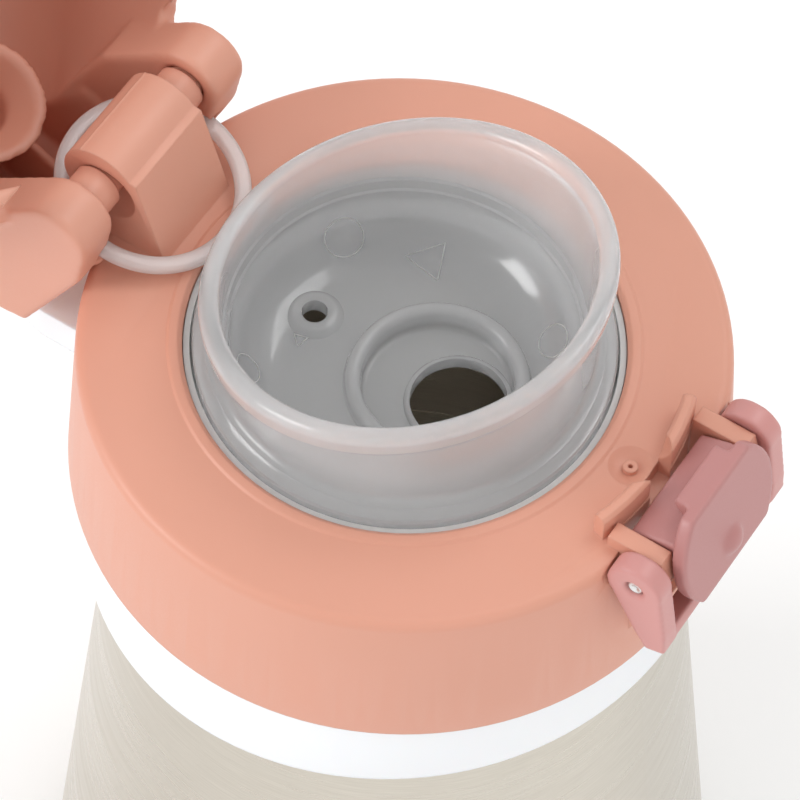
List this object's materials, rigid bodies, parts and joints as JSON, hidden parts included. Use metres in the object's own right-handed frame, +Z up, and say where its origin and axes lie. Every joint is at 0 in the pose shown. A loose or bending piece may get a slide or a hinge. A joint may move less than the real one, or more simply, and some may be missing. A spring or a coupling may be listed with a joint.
{
  "type": "insulated children's drinking bottle",
  "caption": "Tapered double-wall steel drinking bottle with a white neck ring, a coral screw-on collar with a wide translucent mouthpiece, and a hinged flip cap with a push button and a lock bail.",
  "frame": {"origin": "centre of the bottle's underside, on the surface it stands on", "axes": "+Z up along the bottle's axis; +X towards the push button and the lock bail; the cap's hinge is at -X; the XZ plane is the plane of symmetry"},
  "size_m": [0.1444, 0.0846, 0.1784],
  "materials": {
    "steel_outer": "fine circumferential brushing",
    "steel_inner": "satin",
    "base_steel": "spun",
    "base_plate": "satin",
    "seal_metal": "dull",
    "ring_white": "satin",
    "silicone_white": "satin",
    "coral": "satin, lightly moulded",
    "liner": "satin",
    "mouthpiece_clear": "milky translucent",
    "silicone_clear": "translucent",
    "pin_coral": "satin",
    "band_clear": "translucent",
    "carrier": "satin",
    "plug_clear": "translucent",
    "button_pink": "satin",
    "pin_steel": "polished",
    "spring_steel": "drawn wire",
    "bail_pink": "satin"
  },
  "bodies": {
    "bottle": {"outer_shell": "steel_outer", "inner_flask": "steel_inner", "base_cup": "base_plate", "vacuum_seal": "seal_metal", "base_cap": "base_steel", "neck_ring": "ring_white"},
    "lid_seal": {"neck_seal": "silicone_white"},
    "lid": {"collar": "coral", "thread_liner": "liner", "mouthpiece": "mouthpiece_clear", "mouthpiece_seal": "silicone_clear", "hinge_pin": "pin_coral", "spring_band": "band_clear", "latch_pin": "pin_steel", "button_spring": "spring_steel"},
    "cap": {"cap_shell": "coral", "plug_carrier": "carrier", "drink_plug": "plug_clear", "vent_plug": "plug_clear"},
    "button": {"push_button": "button_pink"},
    "bail": {"lock_bail": "bail_pink"}
  },
  "joints": [
    {"name": "lid_rise", "type": "slide", "parent": "bottle", "child": "lid_seal", "axis": [0, 0, 1], "range_m": [0, 0.006]},
    {"name": "lid_turn", "type": "hinge", "parent": "lid_seal", "child": "lid", "pos_m": [0, 0, 0.12], "axis": [0, 0, 1], "range_deg": [0, 540]},
    {"name": "cap_hinge", "type": "hinge", "parent": "lid", "child": "cap", "pos_m": [-0.0343, 0, 0.1405], "axis": [0, 1, 0], "range_deg": [0, 152], "deforming": ["spring_band"]},
    {"name": "button_press", "type": "hinge", "parent": "lid", "child": "button", "pos_m": [0.0354, 0, 0.1316], "axis": [0, 1, 0], "range_deg": [0, 8], "stiffness_Nm_per_rad": 0.08, "deforming": ["button_spring"]},
    {"name": "bail_swing", "type": "hinge", "parent": "lid", "child": "bail", "pos_m": [0.0354, 0, 0.1316], "axis": [0, -1, 0], "range_deg": [0, 162]}
  ],
  "couplings": [
    {"joint": "lid_rise", "follows": "lid_turn", "m_per_rad": 0.00063662}
  ]
}
